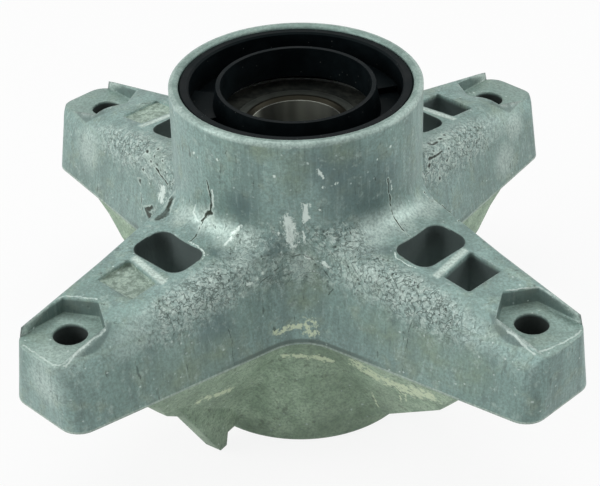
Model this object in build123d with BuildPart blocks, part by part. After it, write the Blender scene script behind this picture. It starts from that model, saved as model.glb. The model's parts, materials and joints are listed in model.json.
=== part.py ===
"""Mower deck spindle housing: a die-cast body with four bolt arms, two shielded ball
bearings with the spacer tube between them, and a moulded seal in the top recess.

Millimetres, +Z up, origin on the spindle axis at the foot of the lower boss."""

import math
import os

from build123d import *

# Ball bearings, both the same size
bearing_bore_radius = 12.5
bearing_outer_radius = 26.0
bearing_width = 15.0
ball_radius = 3.969
ball_count = 9
pitch_offset = 0.25
groove_play = 0.13
race_play = 0.02
inner_ring_wall = 4.1
outer_ring_wall = 3.4
ring_chamfer = 1.0
cage_wall = 2.7
cage_width = 9.6
pocket_play = 0.1
shield_thickness = 0.8
shield_recess = 0.5
shield_seat_depth = 1.0
shield_lip_gap = 0.15
seat_play = 0.02

# Heights of the casting above the foot of the lower boss
housing_height = 95.4
arm_top_z = 60.6
arm_foot_z = 37.5
arm_rise = 0.09

# Bores of the casting
lower_bearing_z = 4.0
bearing_step = 3.4
seal_step = 5.0
seal_recess_depth = 11.9
seal_seat_gap = 0.4
mouth_chamfer = 0.5

# Hub and lower boss
hub_wall = 2.5
hub_blend = 8.0
rim_chamfer = 0.6
boss_wall = 7.4
boss_flare = 3.2
boss_edge = 2.5
boss_foot_blend = 12.0
boss_top_blend = 2.0
boss_overlap = 0.1

# Arms, seen from above: u runs outwards along the arm, v runs across it. The side at
# negative v has a rounded shoulder, the side at positive v a crisp lip.
bolt_square = 114.3
end_margin = 11.8
front_round_v = 19.9
back_round_v = 18.6
lip_v = 17.9
flank_datum_u = 56.0
flank_slope = 0.17
arm_draft = 0.171
ridge_blend = 0.3
shoulder_blend = 8.0
shoulder_u = 60.0
end_shoulder_blend = 12.5
lip_blend = 2.5
end_blend = 6.0
notch_blend = 12.0
notch_top_blend = 20.0
cutter_overrun = 1.0

# Bolt seats on the arms
bolt_hole_radius = 4.45
hex_across_flats = 16.5
hex_depth = 4.4

# Weight-saving windows and pockets on the arms
window_from_hub = 7.5
window_length = 11.6
window_round_v = 8.0
window_lip_v = 10.0
window_corner = 3.8
window_floor_z = 26.0
recess_draft = 2.0
window_web = (4.5, 2.4)
pocket_length = (8.8, 10.9)
pocket_round_v = 6.5
pocket_lip_v = 7.0
pocket_floor_z = 33.0
pocket_shallow = 1.5
pocket_corner = 1.0

# Ribbed skirt under the arms
ledge = 1.2
open_notch_draft = 0.5
side_notch_draft = 0.2
skirt_foot_z = 2.0
skirt_reach = 75.0
skirt_neck = (67.4, 32.0)
skirt_knee = (62.8, 25.3)
skirt_foot_reach = 30.0
rib_foot_run = 17.0

# Pointed lug beside the front left rib
lug_angle = -125.0
lug_thickness = 5.0
lug_top = (60.5, 27.0)
lug_tip_reach = 43.6
lug_tip_width = 2.8
lug_tip_flare = 0.84
lug_tip_z = 1.0
lug_notch_z = 5.0

# Moulded seal in the top recess
seal_play = 0.05
seal_below_rim = 0.7
seal_wall = 2.75
seal_lip_edge = 0.5
seal_channel_depth = 7.9
seal_web = 1.1
seal_sleeve_radius = 20.0
seal_sleeve_wall = 1.1
seal_sleeve_flare = 1.3
seal_sleeve_drop = 0.5
seal_pad_height = 1.8
seal_pad_starts = (16.0, 164.0)
seal_pad_sweep = 35.0

# Spacer tube between the inner rings
spacer_wall = 3.4
spacer_play = 0.1
spacer_end_play = 0.3

# How near a corner has to lie to a circle to be picked on it
pick_reach = 0.01

# Worked out from the sizes above
ball_pitch_radius = (bearing_bore_radius + bearing_outer_radius) / 2 + pitch_offset
groove_radius = ball_radius + groove_play
inner_land_radius = bearing_bore_radius + inner_ring_wall
outer_land_radius = bearing_outer_radius - outer_ring_wall
shield_seat_radius = outer_land_radius + shield_seat_depth
seal_seat_radius = bearing_outer_radius + seal_step
hub_radius = seal_seat_radius + hub_wall
boss_radius = bearing_outer_radius + boss_wall
rib_foot_reach = boss_radius + rib_foot_run
seal_seat_z = housing_height - seal_recess_depth
upper_bearing_z = seal_seat_z - seal_seat_gap - bearing_width
bolt_u = bolt_square / math.sqrt(2)
arm_end_u = bolt_u + end_margin
past_arm_u = arm_end_u + cutter_overrun
profile_u = arm_end_u + end_margin
seat_floor_z = arm_top_z - hex_depth
window_inner_radius = hub_radius + window_from_hub
window_outer_u = window_inner_radius + window_length

os.makedirs("parts", exist_ok=True)


def save(piece, name):
    """Label a finished piece and write it."""
    piece.part.label = name
    export_step(piece.part, f"parts/{name}.step")


def arm_top(u):
    """Height of an arm's top, which rises towards the hub."""
    return arm_top_z + arm_rise * (bolt_u - u)


def flank(u, z, half_width, draft):
    """Half width of an arm or rib at distance u and height z; a positive draft narrows it upwards."""
    return half_width - flank_slope * (u - flank_datum_u) - draft * (z - arm_foot_z)


def boss_wall_radius(z):
    """Radius of the lower boss at height z."""
    return boss_radius + boss_flare * z / arm_foot_z


def arm_outline(z, round_v):
    """Corners of one arm in plan at height z, from the axis to its end and back."""
    round_side = [(u, -flank(u, z, round_v, arm_draft)) for u in (0.0, arm_end_u)]
    lip_side = [(u, flank(u, z, lip_v, arm_draft)) for u in (arm_end_u, 0.0)]
    return round_side + lip_side


def edge_blend(half_width, stations, side):
    """What a rounding of changing radius takes off an arm's top edge on the given side."""
    tilt = math.atan(arm_draft)
    turn = math.pi / 2 - tilt
    with BuildPart() as cutter:
        for u, blend in stations:
            top = arm_top(u)
            corner = flank(u, top, half_width, arm_draft)
            run = blend * math.tan(turn / 2)
            middle = math.pi / 2 - turn / 2
            on_flank = (side * (corner + run * math.sin(tilt)), top - run * math.cos(tilt))
            on_top = (side * (corner - run), top)
            between = (
                side * (corner - run + blend * math.cos(middle)),
                top - blend + blend * math.sin(middle),
            )
            clear_v = side * (corner + blend)
            with BuildSketch(Plane(origin=(u, 0, 0), x_dir=(0, 1, 0), z_dir=(1, 0, 0))):
                with BuildLine():
                    ThreePointArc(on_flank, between, on_top)
                    Polyline(
                        on_top,
                        (on_top[0], top + blend),
                        (clear_v, top + blend),
                        (clear_v, on_flank[1]),
                        on_flank,
                    )
                make_face()
        loft(ruled=True)
    return cutter.part


def make_recesses(pocket_z):
    """Bolt seat, bolt hole, window and pocket of one arm, to be cut from the casting."""
    top_z = arm_top(hub_radius)
    with BuildPart() as recesses:
        with BuildSketch(Plane.XY.offset(seat_floor_z)):
            with Locations((bolt_u, 0)):
                RegularPolygon(radius=hex_across_flats / 2, side_count=6, major_radius=False)
            with Locations((bolt_u + end_margin, 0)):
                Rectangle(2 * end_margin, hex_across_flats)
        extrude(amount=top_z - seat_floor_z)
        with BuildSketch(Plane.XY):
            with Locations((bolt_u, 0)):
                Circle(bolt_hole_radius)
        extrude(amount=top_z)
        # The window's side towards the hub follows the hub
        with BuildSketch(Plane.XY.offset(top_z)):
            with BuildLine():
                Polyline(
                    (window_outer_u, -window_round_v),
                    (window_outer_u, window_lip_v),
                    (hub_radius, window_lip_v),
                    (hub_radius, -window_round_v),
                    close=True,
                )
            make_face()
            Circle(window_inner_radius, mode=Mode.SUBTRACT)
            fillet(vertices(), window_corner)
        extrude(amount=window_floor_z - top_z, taper=recess_draft)
        with BuildSketch(Plane.XY.offset(top_z)):
            with BuildLine():
                Polyline(
                    (window_outer_u + window_web[0], -pocket_round_v),
                    (window_outer_u + window_web[1], pocket_lip_v),
                    (window_outer_u + window_web[1] + pocket_length[1], pocket_lip_v),
                    (window_outer_u + window_web[0] + pocket_length[0], -pocket_round_v),
                    close=True,
                )
            make_face()
            fillet(vertices(), pocket_corner)
        extrude(amount=pocket_z - top_z, taper=recess_draft)
    return recesses.part


# Skirt under the arms: drafted ribs blended into the boss in plan, trimmed by a turned profile
with BuildPart() as skirt:
    for level, reach, blend in (
        (skirt_foot_z, rib_foot_reach, boss_foot_blend),
        (arm_foot_z, skirt_reach, boss_top_blend),
    ):
        inside_boss = boss_wall_radius(level) - boss_overlap
        with BuildSketch(Plane.XY.offset(level)):
            for angle, round_v, round_draft, lip_draft in (
                (-45, front_round_v, open_notch_draft, side_notch_draft),
                (45, back_round_v, side_notch_draft, open_notch_draft),
            ):
                with BuildSketch(Plane.XY.rotated((0, 0, angle)), mode=Mode.PRIVATE) as one_rib:
                    with BuildLine():
                        Polyline(
                            (0, ledge - flank(0, level, round_v, -round_draft)),
                            (reach, ledge - flank(reach, level, round_v, -round_draft)),
                            (reach, flank(reach, level, lip_v, -lip_draft) - ledge),
                            (0, flank(0, level, lip_v, -lip_draft) - ledge),
                            close=True,
                        )
                    make_face()
                add(one_rib.sketch)
            mirror(about=Plane.YZ)
            Circle(inside_boss)
            on_boss = vertices().filter_by(lambda v: abs(math.hypot(v.X, v.Y) - inside_boss) < pick_reach)
            fillet(on_boss.filter_by(lambda v: abs(v.Y) > pick_reach), blend)
    loft(ruled=True)
    with BuildSketch(Plane.XZ):
        with BuildLine():
            Polyline(
                (0, skirt_foot_z),
                (0, arm_foot_z),
                (skirt_reach, arm_foot_z),
                skirt_neck,
                skirt_knee,
                (skirt_foot_reach, skirt_foot_z),
                close=True,
            )
        make_face()
    revolve(axis=Axis.Z, mode=Mode.INTERSECT)

# Outline of the hub and the four arms in plan, drafted upwards, with blended notches
with BuildPart() as star:
    for level, blend in ((arm_foot_z, notch_blend), (arm_top(hub_radius) + hub_blend, notch_top_blend)):
        with BuildSketch(Plane.XY.offset(level)):
            for angle, round_v in ((-45, front_round_v), (45, back_round_v)):
                with BuildSketch(Plane.XY.rotated((0, 0, angle)), mode=Mode.PRIVATE) as one_arm:
                    with BuildLine():
                        Polyline(*arm_outline(level, round_v), close=True)
                    make_face()
                add(one_arm.sketch)
            mirror(about=Plane.YZ)
            fillet(vertices().filter_by(lambda v: math.hypot(v.X, v.Y) < flank_datum_u), blend)
            fillet(vertices().filter_by(lambda v: math.hypot(v.X, v.Y) > arm_end_u), end_blend)
    loft(ruled=True)
    with BuildSketch(Plane.XY.offset(arm_foot_z)):
        Circle(hub_radius)
    extrude(amount=housing_height - arm_foot_z)

# The casting
with BuildPart() as housing:
    # Hub, its blend and the arms' sloping tops in one turned profile
    with BuildSketch(Plane.XZ):
        with BuildLine():
            Polyline(
                (0, arm_foot_z),
                (profile_u, arm_foot_z),
                (profile_u, arm_top(profile_u)),
                (hub_radius, arm_top(hub_radius)),
                (hub_radius, housing_height),
                (0, housing_height),
                close=True,
            )
        make_face()
        fillet(vertices().sort_by_distance((hub_radius, arm_top(hub_radius)))[0], hub_blend)
        chamfer(vertices().sort_by_distance((hub_radius, housing_height))[0], rim_chamfer)
    revolve(axis=Axis.Z)
    add(star.part, mode=Mode.INTERSECT)
    round_stations = (
        (hub_radius, ridge_blend),
        (shoulder_u, shoulder_blend),
        (past_arm_u, end_shoulder_blend),
    )
    lip_stations = ((hub_radius, ridge_blend), (shoulder_u, lip_blend), (past_arm_u, lip_blend))
    for angle, round_v in ((-45, front_round_v), (45, back_round_v)):
        for cutter in (edge_blend(round_v, round_stations, -1), edge_blend(lip_v, lip_stations, 1)):
            turned = cutter.rotate(Axis.Z, angle)
            add(turned, mode=Mode.SUBTRACT)
            add(turned.mirror(Plane.YZ), mode=Mode.SUBTRACT)
    # Lower boss and ribbed skirt
    with BuildSketch(Plane.XZ):
        with BuildLine():
            Polyline(
                (0, 0),
                (boss_radius, 0),
                (boss_wall_radius(arm_foot_z), arm_foot_z),
                (0, arm_foot_z),
                close=True,
            )
        make_face()
        fillet(vertices().group_by(Axis.Y)[0].sort_by(Axis.X)[-1], boss_edge)
    revolve(axis=Axis.Z)
    add(skirt.part)
    # Lug
    with BuildSketch(Plane.XZ.rotated((0, 0, lug_angle))):
        with BuildLine():
            Polyline(
                (boss_radius - boss_edge, lug_notch_z),
                (lug_tip_reach - lug_tip_width - lug_tip_flare, lug_notch_z),
                (lug_tip_reach - lug_tip_width, lug_tip_z),
                (lug_tip_reach, lug_tip_z),
                lug_top,
                (boss_radius - boss_edge, lug_top[1]),
                close=True,
            )
        make_face()
    extrude(amount=lug_thickness / 2, both=True)
    # Bolt seats, windows and pockets
    for angle in (-45, 45):
        deep = make_recesses(pocket_floor_z).rotate(Axis.Z, angle)
        shallow = make_recesses(arm_top(shoulder_u) - pocket_shallow).rotate(Axis.Z, angle)
        add(deep, mode=Mode.SUBTRACT)
        add(shallow.mirror(Plane.YZ), mode=Mode.SUBTRACT)
    # Stepped bores for the bearings and the seal
    with BuildSketch(Plane.XZ):
        with BuildLine():
            Polyline(
                (0, 0),
                (bearing_outer_radius + mouth_chamfer, 0),
                (bearing_outer_radius, mouth_chamfer),
                (bearing_outer_radius, lower_bearing_z + bearing_width),
                (bearing_outer_radius - bearing_step, lower_bearing_z + bearing_width),
                (bearing_outer_radius - bearing_step, upper_bearing_z),
                (bearing_outer_radius, upper_bearing_z),
                (bearing_outer_radius, seal_seat_z),
                (seal_seat_radius, seal_seat_z),
                (seal_seat_radius, housing_height - mouth_chamfer),
                (seal_seat_radius + mouth_chamfer, housing_height),
                (0, housing_height),
                close=True,
            )
        make_face()
    revolve(axis=Axis.Z, mode=Mode.SUBTRACT)
save(housing, "housing")

# Seal: outer wall pressed into the recess, channel floor with two raised pads, inner sleeve
seal_radius = seal_seat_radius - seal_play
seal_top_z = housing_height - seal_below_rim
seal_floor_z = seal_top_z - seal_channel_depth
sleeve_top_z = seal_top_z - seal_sleeve_drop
sleeve_radius = seal_sleeve_radius + seal_sleeve_wall
with BuildPart() as upper_seal:
    with BuildSketch(Plane.XZ):
        with BuildLine():
            Polyline(
                (seal_radius, seal_seat_z),
                (seal_radius, seal_top_z),
                (seal_radius - seal_wall, seal_top_z),
                (seal_radius - seal_wall, seal_floor_z),
                (sleeve_radius + seal_sleeve_flare, seal_floor_z),
                (sleeve_radius, sleeve_top_z),
                (seal_sleeve_radius, sleeve_top_z),
                (seal_sleeve_radius, seal_floor_z - seal_web),
                (seal_radius - seal_wall, seal_floor_z - seal_web),
                (seal_radius - seal_wall, seal_seat_z),
                close=True,
            )
        make_face()
        chamfer(vertices().group_by(Axis.Y)[-1], seal_lip_edge)
    revolve(axis=Axis.Z)
    for start in seal_pad_starts:
        with BuildSketch(Plane.XZ.rotated((0, 0, start))):
            with BuildLine():
                Polyline(
                    (sleeve_radius, seal_floor_z - seal_web / 2),
                    (seal_radius - seal_wall / 2, seal_floor_z - seal_web / 2),
                    (seal_radius - seal_wall / 2, seal_floor_z + seal_pad_height),
                    (sleeve_radius, seal_floor_z + seal_pad_height),
                    close=True,
                )
            make_face()
        revolve(axis=Axis.Z, revolution_arc=seal_pad_sweep)
save(upper_seal, "upper_seal")

# Spacer tube, from the lower inner ring to just under the upper one
spacer_foot_z = lower_bearing_z + bearing_width
with BuildPart() as spacer:
    with BuildSketch(Plane.XY.offset(spacer_foot_z)):
        Circle(bearing_bore_radius + spacer_play + spacer_wall)
        Circle(bearing_bore_radius + spacer_play, mode=Mode.SUBTRACT)
    extrude(amount=upper_bearing_z - spacer_end_play - spacer_foot_z)
save(spacer, "spacer")

# Both bearings: rings with race grooves, a one-piece cage, balls and two shields
ring_radius = bearing_outer_radius - seat_play
outer_race_radius = ball_pitch_radius + ball_radius + race_play
inner_race_radius = ball_pitch_radius - ball_radius - race_play
for place, foot_z in (("upper", upper_bearing_z), ("lower", lower_bearing_z)):
    middle_z = foot_z + bearing_width / 2
    section = Plane(origin=(0, 0, middle_z), x_dir=(1, 0, 0), z_dir=(0, -1, 0))

    with BuildPart() as outer_ring:
        with BuildSketch(section):
            with Locations(((outer_land_radius + ring_radius) / 2, 0)):
                Rectangle(ring_radius - outer_land_radius, bearing_width)
            chamfer(vertices().group_by(Axis.X)[-1], ring_chamfer)
            seat_depth = shield_recess + shield_thickness
            with Locations((outer_land_radius, bearing_width / 2), (outer_land_radius, -bearing_width / 2)):
                Rectangle(2 * (shield_seat_radius - outer_land_radius), 2 * seat_depth, mode=Mode.SUBTRACT)
            with Locations((outer_race_radius - groove_radius, 0)):
                Circle(groove_radius, mode=Mode.SUBTRACT)
        revolve(axis=Axis.Z)
    save(outer_ring, f"{place}_outer_ring")

    with BuildPart() as inner_ring:
        with BuildSketch(section):
            with Locations(((bearing_bore_radius + inner_land_radius) / 2, 0)):
                Rectangle(inner_land_radius - bearing_bore_radius, bearing_width)
            chamfer(vertices().group_by(Axis.X)[0], ring_chamfer)
            with Locations((inner_race_radius + groove_radius, 0)):
                Circle(groove_radius, mode=Mode.SUBTRACT)
        revolve(axis=Axis.Z)
    save(inner_ring, f"{place}_inner_ring")

    with BuildPart() as cage:
        with BuildSketch(Plane.XY.offset(middle_z - cage_width / 2)):
            Circle(ball_pitch_radius + cage_wall / 2)
            Circle(ball_pitch_radius - cage_wall / 2, mode=Mode.SUBTRACT)
        extrude(amount=cage_width)
        with Locations((0, 0, middle_z)):
            with PolarLocations(ball_pitch_radius, ball_count):
                Cylinder(ball_radius + pocket_play, 2 * cage_wall, rotation=(0, 90, 0), mode=Mode.SUBTRACT)
    save(cage, f"{place}_cage")

    for number in range(ball_count):
        turn = math.radians(360 / ball_count * number)
        centre = (ball_pitch_radius * math.cos(turn), ball_pitch_radius * math.sin(turn), middle_z)
        with BuildPart() as ball:
            with Locations(centre):
                Sphere(ball_radius)
        save(ball, f"{place}_ball_{number + 1}")

    for side, shield_z in (
        ("bottom", foot_z + shield_recess),
        ("top", foot_z + bearing_width - shield_recess - shield_thickness),
    ):
        with BuildPart() as shield:
            with BuildSketch(Plane.XY.offset(shield_z)):
                Circle(shield_seat_radius - seat_play)
                Circle(inner_land_radius + shield_lip_gap, mode=Mode.SUBTRACT)
            extrude(amount=shield_thickness)
        save(shield, f"{place}_shield_{side}")
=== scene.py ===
"""Worn die-cast mower deck spindle housing on a pale bench, seen from the front and above."""
import json
import math

import bpy
from mathutils import Matrix, Vector
from mathutils.bvhtree import BVHTree


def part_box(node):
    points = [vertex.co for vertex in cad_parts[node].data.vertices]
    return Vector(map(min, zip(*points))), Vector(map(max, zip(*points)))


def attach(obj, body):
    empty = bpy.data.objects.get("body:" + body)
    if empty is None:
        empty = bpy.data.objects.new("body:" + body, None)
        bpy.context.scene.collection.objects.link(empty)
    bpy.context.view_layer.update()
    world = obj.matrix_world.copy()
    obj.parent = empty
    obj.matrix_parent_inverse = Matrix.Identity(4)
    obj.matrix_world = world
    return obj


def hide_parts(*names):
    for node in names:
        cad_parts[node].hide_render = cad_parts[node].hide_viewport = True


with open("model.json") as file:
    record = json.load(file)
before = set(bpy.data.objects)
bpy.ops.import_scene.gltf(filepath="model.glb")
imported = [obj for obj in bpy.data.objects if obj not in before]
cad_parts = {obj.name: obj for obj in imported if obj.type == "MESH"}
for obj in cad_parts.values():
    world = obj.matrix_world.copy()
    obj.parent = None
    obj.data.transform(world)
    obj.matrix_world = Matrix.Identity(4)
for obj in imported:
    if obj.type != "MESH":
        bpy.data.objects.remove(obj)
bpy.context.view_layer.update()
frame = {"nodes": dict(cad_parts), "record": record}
MM = 0.001
IMAGE_WIDTH = 600
IMAGE_HEIGHT = 486

# Camera, as in the photograph
CAMERA_PLACE = Vector((2.365, -419.476, 322.012)) * MM
CAMERA_TURN = math.radians(0.322)
CAMERA_ELEVATION = math.radians(33.542)
CAMERA_ROLL = math.radians(-1.492)
CAMERA_FOCAL_PIXELS = 1812.238
SENSOR_WIDTH_MM = 36.0

# Fill light and floor, and the lamps by name, place and side in metres, and power in watts
FILL_LIGHT = 0.32
FLOOR_SIDE = 4.0
FLOOR_PAPER = (0.8, 0.8, 0.8, 1.0)
FLOOR_GLOW = 0.88
LAMP_AIM = Vector((0.0, 0.0, 0.05))
LAMPS = (
    ("top_softbox", (0.0, 0.15, 0.9), 0.7, 3.2),
    ("left_softbox", (-0.88, -0.25, 0.45), 0.6, 6.6),
    ("right_softbox", (0.95, 0.05, 0.5), 0.6, 4.4),
)

# Sizes of the object, read from the frame
RIM_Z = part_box("housing")[1][2]
SHIELD_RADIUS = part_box("upper_shield_top")[1][0]

# Casting's mesh: points merged, flat faces joined, edges broken and shaded smooth; angles in degrees
MERGE_GAP = 0.002 * MM
FLAT_ANGLE = 0.5
BROKEN_EDGE = 0.45 * MM
BROKEN_EDGE_ANGLE = 28
SMOOTH_ANGLE = 35

# Sizes that the stains, wear, painted shade and painted highlights follow: OUT along an arm from the
# spindle's axis, SIDES across the arm with its round side negative, BELOW down from the arm's sloping top
ARM_FOOT_Z = 37.5 * MM
ARM_TOP_Z = 60.6 * MM
ARM_RISE = 0.09
SEAT_FLOOR_Z = 56.2 * MM
SEAT_RADIUS = 10.4 * MM
SEAT_START_OUT = 66.0 * MM
BOLT_OUT = 80.8 * MM
BOLT_HOLE_RADIUS = 4.6 * MM
HUB_RADIUS = 33.5 * MM
HUB_BLEND_OUT = 45.0 * MM
WINDOW_START = 41.0 * MM
WINDOW_MIDDLE = (45.3 * MM, 1.0 * MM)
WINDOW_HALF = (7.3 * MM, 9.0 * MM)
WINDOW_CORNER = 3.8 * MM
POCKET_SLANT = 0.156
POCKET_START_OUT = 56.0 * MM
POCKET_END_OUT = 66.0 * MM
POCKET_SIDES = (-6.7 * MM, 7.2 * MM)
WEB_OUT = (54.4 * MM, 55.2 * MM)
WEB_SIDES = (-7.5 * MM, 6.0 * MM)
BEARING_BORE = 12.5 * MM

# Where the zones of the casting fade in or out, from the first number to the second
UNDERSIDE_FADE_Z = (24 * MM, 25 * MM)
UNDERSIDE_FADE_SLOPE = (-0.12, -0.04)
RECESS_FADE_BELOW = (1 * MM, 15 * MM)
SHOULDER_FADE_SIDE = (-13.5 * MM, -8 * MM)
SHOULDER_FADE_LOW = (5 * MM, 14 * MM)
SHOULDER_FADE_HIGH = (-9 * MM, -2 * MM)
SHOULDER_FADE_OUT = (60 * MM, 80 * MM)
LIT_FADE_SIDE = (-12 * MM, -9 * MM)
LIT_BELOW = (0.5 * MM, 7 * MM)
LIT_OUT = (38 * MM, 72 * MM)
LEDGE_FADE_RADIUS = (44 * MM, 60 * MM)
SKIRT_FOOT_FADE_Z = (1 * MM, 14 * MM)

# Casting's skin: shader levels, relief, how far the lines of its marks wander, and more widths of
# a mark than any mark reaches
CAST_METALLIC = 0.3
CAST_ROUGHNESS = 0.45
CAST_GLOSS = 0.2
SKIN_RELIEF = 0.25 * MM
SOFT_EDGE_RADIUS = 1.0 * MM
SOFT_EDGE_SAMPLES = 4
LINE_SHAKE = 1.4 * MM
LINE_SHAKE_SIZE = 3.0 * MM
FAR_OFF = 9.0

# Tones of the casting, as linear red, green and blue
METAL_DULL = (0.205, 0.306, 0.276)
METAL_FRESH = (0.268, 0.388, 0.362)
DRAG_SHADE = (0.150, 0.218, 0.204)
DRAG_LIGHT = (0.380, 0.485, 0.455)
DRAG_DARK = (0.110, 0.158, 0.144)
STAIN = (0.275, 0.345, 0.275)
SHADE_AND_STAIN = (0.090, 0.142, 0.150)
OLIVE_PATCH = (0.220, 0.292, 0.215)
PAINTED_HIGHLIGHT = (0.520, 0.630, 0.580)
LIT_SHOULDER = (0.500, 0.620, 0.580)
MOTTLE_LIGHT = (0.370, 0.465, 0.420)
MOTTLE_DARK = (0.130, 0.182, 0.172)
SCRATCH = (0.060, 0.085, 0.076)
PEBBLE_TOP = (0.520, 0.625, 0.575)
PEBBLE_GAP = (0.130, 0.180, 0.160)
WRINKLE = (0.080, 0.112, 0.098)
SEAT_FLOOR = (0.270, 0.365, 0.318)
SEAT_WALL_SHADE = (0.060, 0.085, 0.080)
POCKET_FLOOR_DARK = (0.190, 0.250, 0.200)
POCKET_FLOOR_LIGHT = (0.400, 0.500, 0.420)
WEB_EDGE = (0.580, 0.690, 0.630)
RIM_DARK = (0.180, 0.260, 0.230)
RIM_LIGHT = (0.270, 0.368, 0.330)
RIM_EDGE = (0.400, 0.505, 0.465)
SKIRT_DARK = (0.280, 0.388, 0.272)
SKIRT_LIGHT = (0.430, 0.560, 0.412)
SKIRT_CLOUD = (0.190, 0.255, 0.180)
SKIRT_FOOT = (0.120, 0.155, 0.110)
SKIRT_PIT = (0.120, 0.150, 0.105)
LEDGE_HIGHLIGHT = (0.470, 0.570, 0.500)
LEDGE_SHADE = (0.075, 0.100, 0.085)
CORNER_SHADE = (0.050, 0.066, 0.048)
WEAR_AND_EDGE_HIGHLIGHT = (0.540, 0.650, 0.600)
FLECK = (0.560, 0.660, 0.630)
PIT = (0.045, 0.060, 0.052)
GRAIN = (0.120, 0.165, 0.148)
SMEAR = (0.640, 0.740, 0.690)
CHALK = (0.600, 0.690, 0.500)
CRACK_LIP = (0.460, 0.560, 0.510)
CRACK = (0.026, 0.036, 0.026)
RECESS_TOP = (0.072, 0.094, 0.090)
RECESS_FLOOR = (0.270, 0.345, 0.330)
BOLT_HOLE = (0.040, 0.050, 0.047)

# Tones of the seal, the shields and the bearing's steel
SEAL_BLACK = (0.0020, 0.0032, 0.0038)
SEAL_GLOSS_TINT = (0.75, 1.0, 0.98, 1.0)
SEAL_DUST = (0.16, 0.17, 0.16)
SHIELD_BLACK = (0.008, 0.010, 0.009)
SHIELD_DUST = (0.035, 0.038, 0.032)
OUTER_RING_STEEL = (0.66, 0.70, 0.67)
INNER_RING_STEEL = (0.110, 0.122, 0.108)
BALL_STEEL = (0.62, 0.61, 0.59)
SPACER_STEEL = (0.50, 0.49, 0.47)
CHAMFER_GREASE = (0.020, 0.019, 0.014)
# Painted reflection bands of the shiny bore
BORE_DARK_REFLECTION = (0.080, 0.086, 0.075)
BORE_BRIGHT_REFLECTION = (0.430, 0.455, 0.390)
# Grease and painted shade on the outer ring's land
GREASE_AND_SHADE = (0.040, 0.046, 0.042)
CAGE_DARK = (0.13, 0.115, 0.085)
CAGE_LIGHT = (0.23, 0.205, 0.16)

# Marks on the casting, by the pixels of the photograph that they cross
LEFT_CRACK = ((207, 181), (209, 190), (212, 203), (211, 212), (204, 219), (200, 229), (196, 236), (190, 241))
RIGHT_CRACK = ((388, 178), (389, 190), (390, 201), (392, 211), (397, 222), (403, 230), (409, 236))
CREST_ARCH = (
    (258, 286), (268, 276), (280, 266), (291, 257), (301, 254), (311, 258), (320, 266), (327, 275), (333, 281)
)
CREST_FLAKE_SEAM = ((333, 281), (333, 289), (329, 295))
FINE_CRACK = ((343, 222), (350, 231), (353, 240), (357, 250), (355, 258))
LEFT_SEAM = ((228, 327), (231, 338), (232, 352), (235, 366))
RIGHT_SEAM = ((411, 323), (406, 350), (402, 376))
CREST_SEAM = ((339, 329), (339, 345))
HUB_NOTCH = ((170, 203), (166, 211), (160, 216), (157, 219))
HUB_NOTCH_TAIL = ((157, 219), (149, 216), (146, 210), (152, 207))
BACK_LEFT_SEAM = ((141, 194), (143, 215))
BACK_RIGHT_SEAM = ((424, 192), (433, 201), (443, 206), (451, 213), (459, 221))
HUB_SMEAR = ((287, 219), (290, 230), (293, 243))
HUB_SMEAR_RIGHT = ((305, 207), (305, 219))
HUB_SMEAR_LOW = ((303, 231), (305, 243))
NOTCH_FLAKE = ((163, 190), (161, 199))
LEFT_CRACK_GAP = ((202, 221), (206, 214), (211, 212))
CRACK_FLAKES = ((212, 190), (213, 199), (213, 206))
RIGHT_CRACK_EDGE = ((391, 180), (392, 190))
BASE_STREAK = ((239, 226), (233, 234), (225, 244))
ARCH_FLAKE = ((305, 256), (309, 258))
ARCH_FLAKE_LEFT = ((248, 285), (253, 283))
ARCH_FLAKE_LOW = ((324, 264), (328, 267))
SEAT_LIP_LEFT = ((105, 330), (93, 340), (78, 351), (66, 366), (52, 365), (38, 355), (24, 345))
SEAT_LIP_RIGHT = (
    (498, 318), (508, 331), (520, 341), (534, 353), (546, 350), (560, 344), (574, 336), (581, 331)
)
SEAT_BACK_LEFT = ((58, 298), (66, 296), (80, 297), (97, 299))
SEAT_BACK_RIGHT = ((506, 291), (520, 289), (537, 287), (560, 299), (578, 312))
HUB_BASE_EDGE = ((196, 205), (193, 212), (199, 222))
WINDOW_BURR_LEFT = ((190, 242), (198, 246), (203, 251), (205, 257), (198, 264))
WINDOW_BURR_RIGHT = ((394, 252), (397, 258), (408, 265), (420, 269))
CREST_CHALK = ((277, 332), (286, 329), (296, 326), (305, 326), (312, 324))
CREST_CHALK_PATCH = ((310, 323), (312, 330))
SKIRT_CHALK_LINE = ((283, 356), (300, 356), (318, 358), (332, 361))
SKIRT_CHALK_LEFT = ((199, 401), (213, 396), (228, 391))
SKIRT_CHALK_RIGHT = ((358, 365), (370, 373), (383, 380), (396, 386), (410, 391), (428, 395))
HUB_TICKS = (
    ((193, 148), (193, 158)), ((226, 146), (226, 154)), ((235, 156), (236, 164)), ((253, 180), (253, 192)),
    ((197, 170), (198, 176)), ((220, 170), (220, 184)), ((201, 192), (202, 199)), ((374, 172), (375, 181)),
    ((386, 152), (384, 158)), ((262, 165), (262, 172)),
)
BACK_ARM_PITS = (
    (147, 152), (158, 149), (151, 161), (163, 161), (143, 169), (140, 180),
    (440, 139), (444, 135), (433, 151), (449, 148), (430, 165), (447, 161), (440, 178),
)
BACK_ARM_CREASES = (
    ((156, 168), (161, 175), (167, 184)),
    ((427, 143), (433, 145), (438, 142)),
    ((429, 159), (436, 156), (442, 151)),
)
HUB_SCRAPE = ((318, 169), (321, 174), (323, 178))
HUB_FLECKS = (
    (323, 187), (336, 184), (274, 176), (217, 160), (194, 152), (378, 159), (390, 147), (320, 210),
    (279, 233), (262, 273), (257, 279),
)
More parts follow.
